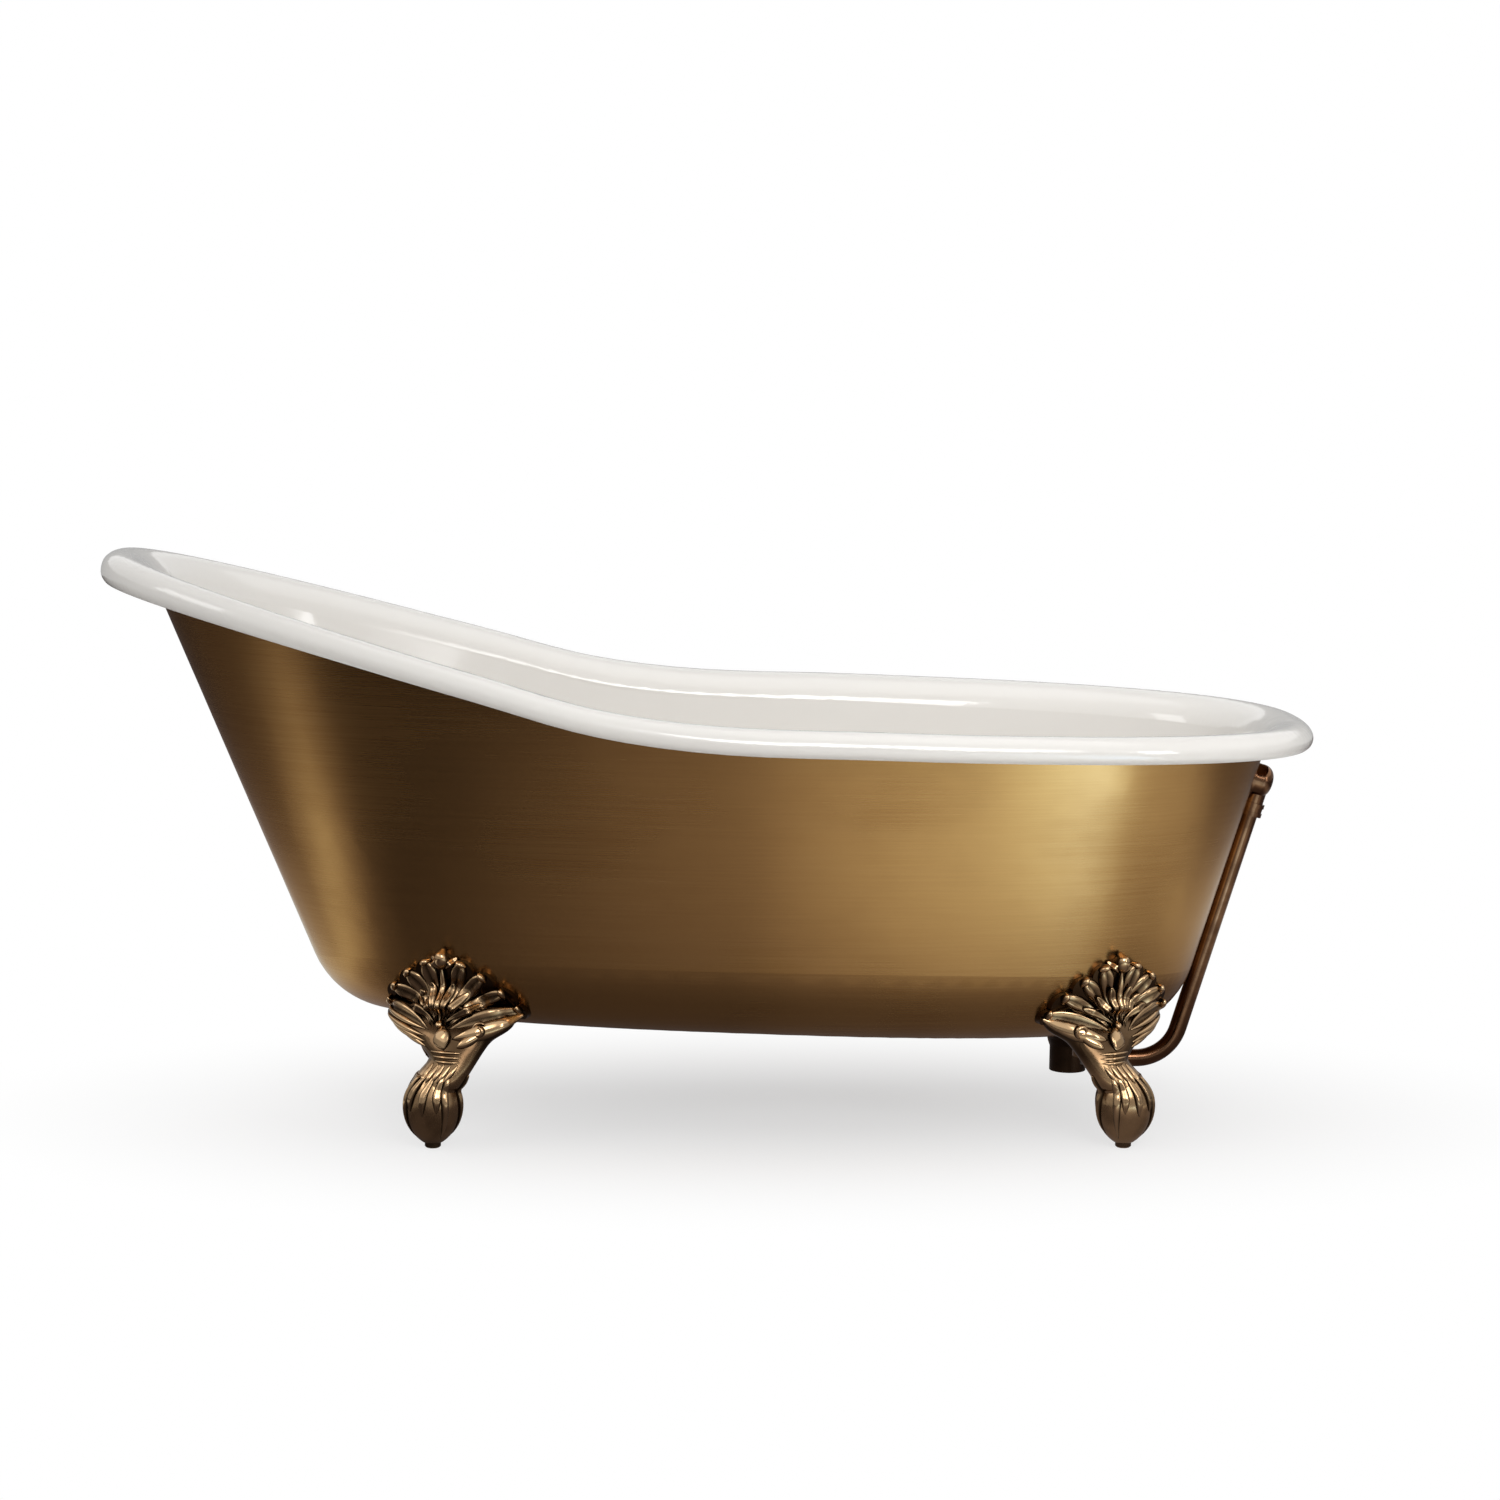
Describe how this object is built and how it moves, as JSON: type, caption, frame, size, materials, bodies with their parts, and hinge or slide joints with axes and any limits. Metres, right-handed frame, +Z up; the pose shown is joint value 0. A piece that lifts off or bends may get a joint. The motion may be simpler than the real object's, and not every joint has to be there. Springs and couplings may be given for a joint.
{
  "type": "cast iron bathtub",
  "caption": "Slipper bath of enamelled cast iron with a rolled rim and a brass outside, on ball-and-claw feet with leaf fans, with an outside overflow pipe and a lift-up drain stopper.",
  "frame": {"origin": "on the floor, under the middle of the rim's outline", "axes": "+X along the bath to the low drain end, +Z up; -Y is the side that the picture shows"},
  "size_m": [1.7, 0.7602, 0.793],
  "materials": {
    "casting_iron": "as cast",
    "white_enamel": "glossy fired enamel",
    "antique_brass": "brushed, aged",
    "foot_bronze": "polished, dark aged",
    "toe_bronze": "dark aged",
    "waste_bronze": "polished, dark aged",
    "ring_brass": "plain",
    "fastener_steel": "zinc plated",
    "seal_rubber": "matte"
  },
  "bodies": {
    "tub": {"tub_casting": "casting_iron", "enamel_lining": "white_enamel", "brass_skin": "antique_brass", "foot_studs": "fastener_steel", "foot_washers": "fastener_steel", "foot_nuts": "fastener_steel", "waste_flange": "waste_bronze", "waste_shoe": "waste_bronze", "waste_union_nut": "waste_bronze", "stopper_post": "waste_bronze", "overflow_head": "waste_bronze", "overflow_face": "waste_bronze", "overflow_screw": "waste_bronze", "overflow_union_nut": "waste_bronze", "overflow_tube": "waste_bronze", "overflow_ferrules": "ring_brass", "waste_seal_upper": "seal_rubber", "waste_seal_lower": "seal_rubber", "overflow_seal": "seal_rubber", "overflow_face_seal": "seal_rubber", "claw_foot_slipper_right": "foot_bronze", "claw_foot_slipper_left": "foot_bronze", "claw_foot_drain_right": "foot_bronze", "claw_foot_drain_left": "foot_bronze"},
    "stopper": {"stopper_cap": "waste_bronze", "stopper_seal": "seal_rubber"},
    "leveller_slipper_right": {"leveller_slipper_right": "toe_bronze"},
    "leveller_slipper_left": {"leveller_slipper_left": "toe_bronze"},
    "leveller_drain_right": {"leveller_drain_right": "toe_bronze"},
    "leveller_drain_left": {"leveller_drain_left": "toe_bronze"}
  },
  "joints": [
    {"name": "stopper_lift", "type": "slide", "parent": "tub", "child": "stopper", "axis": [0, 0, 1], "range_m": [0, 0.01]},
    {"name": "leveller_slipper_right_screw", "type": "slide", "parent": "tub", "child": "leveller_slipper_right", "axis": [0, 0, -1], "range_m": [0, 0.012]},
    {"name": "leveller_slipper_left_screw", "type": "slide", "parent": "tub", "child": "leveller_slipper_left", "axis": [0, 0, -1], "range_m": [0, 0.012]},
    {"name": "leveller_drain_right_screw", "type": "slide", "parent": "tub", "child": "leveller_drain_right", "axis": [0, 0, -1], "range_m": [0, 0.012]},
    {"name": "leveller_drain_left_screw", "type": "slide", "parent": "tub", "child": "leveller_drain_left", "axis": [0, 0, -1], "range_m": [0, 0.012]}
  ]
}
